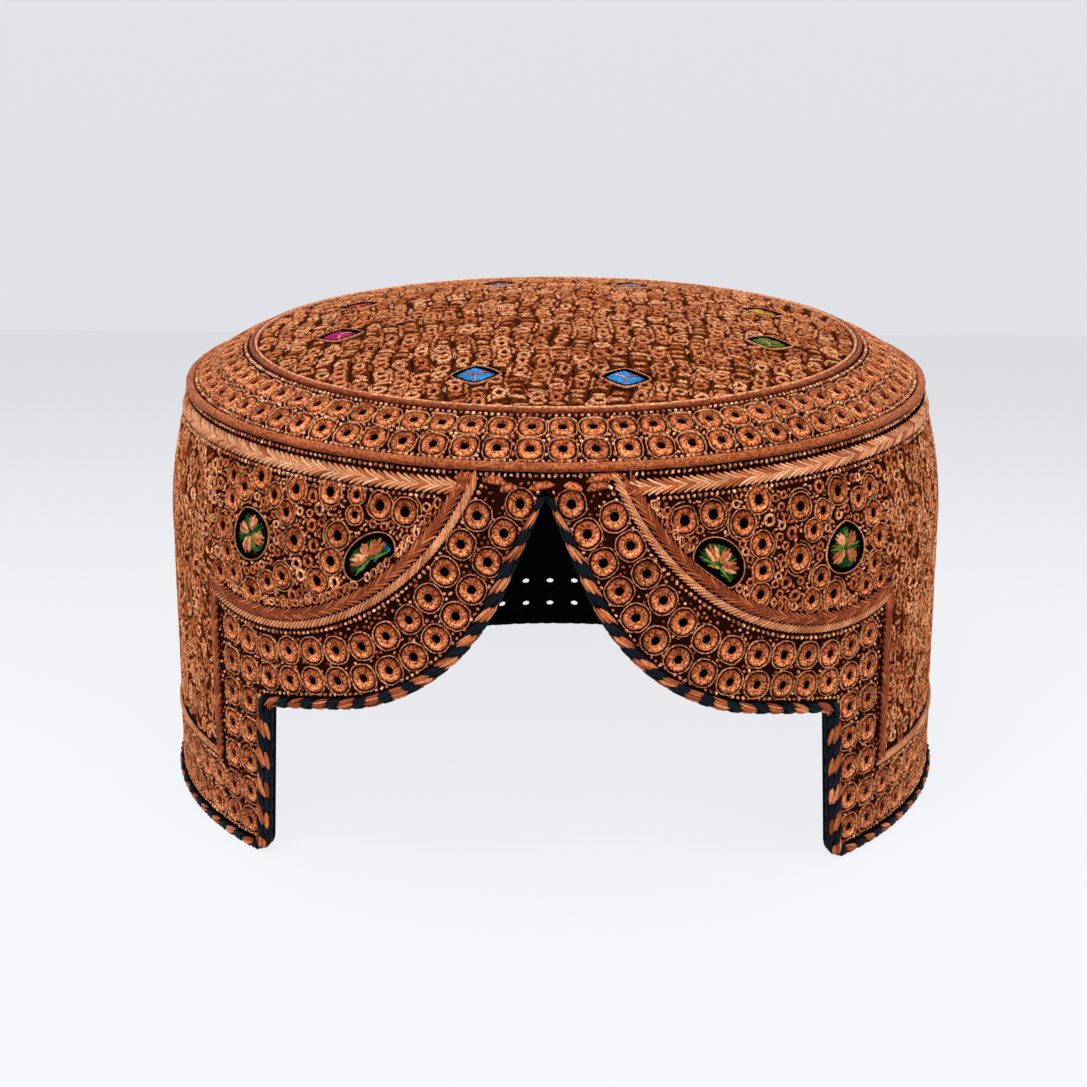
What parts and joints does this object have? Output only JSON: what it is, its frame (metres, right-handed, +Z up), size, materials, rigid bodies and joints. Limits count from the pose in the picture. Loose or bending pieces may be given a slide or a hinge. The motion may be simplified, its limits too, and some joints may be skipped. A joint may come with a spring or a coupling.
{
  "type": "sindhi cap",
  "caption": "Stiff round embroidered cap with a gently domed crown and an upright wall cut away at the front in a pointed arch, with a striped edge binding and a black lining.",
  "frame": {"origin": "on the cap's own axis, on the plane of the rim that it stands on", "axes": "+Z up through the crown, -Y out of the front opening, +X to the right seen from the front"},
  "size_m": [0.1846, 0.184, 0.1113],
  "materials": {
    "embroidered_cloth": "black cotton covered with copper thread embroidery",
    "copper_thread": "plaited light copper silk thread, soft sheen",
    "rust_thread": "rust brown thread over a cord",
    "striped_tape": "blue-black tape crossed by copper stitches",
    "black_cotton": "plain matt black cotton"
  },
  "bodies": {
    "root": {"crown": "embroidered_cloth", "crown_cord": "rust_thread", "seam_piping": "copper_thread", "side_wall": "embroidered_cloth", "edge_binding": "striped_tape", "top_braid": "copper_thread", "panel_braid": "copper_thread", "lining": "black_cotton"}
  },
  "joints": []
}
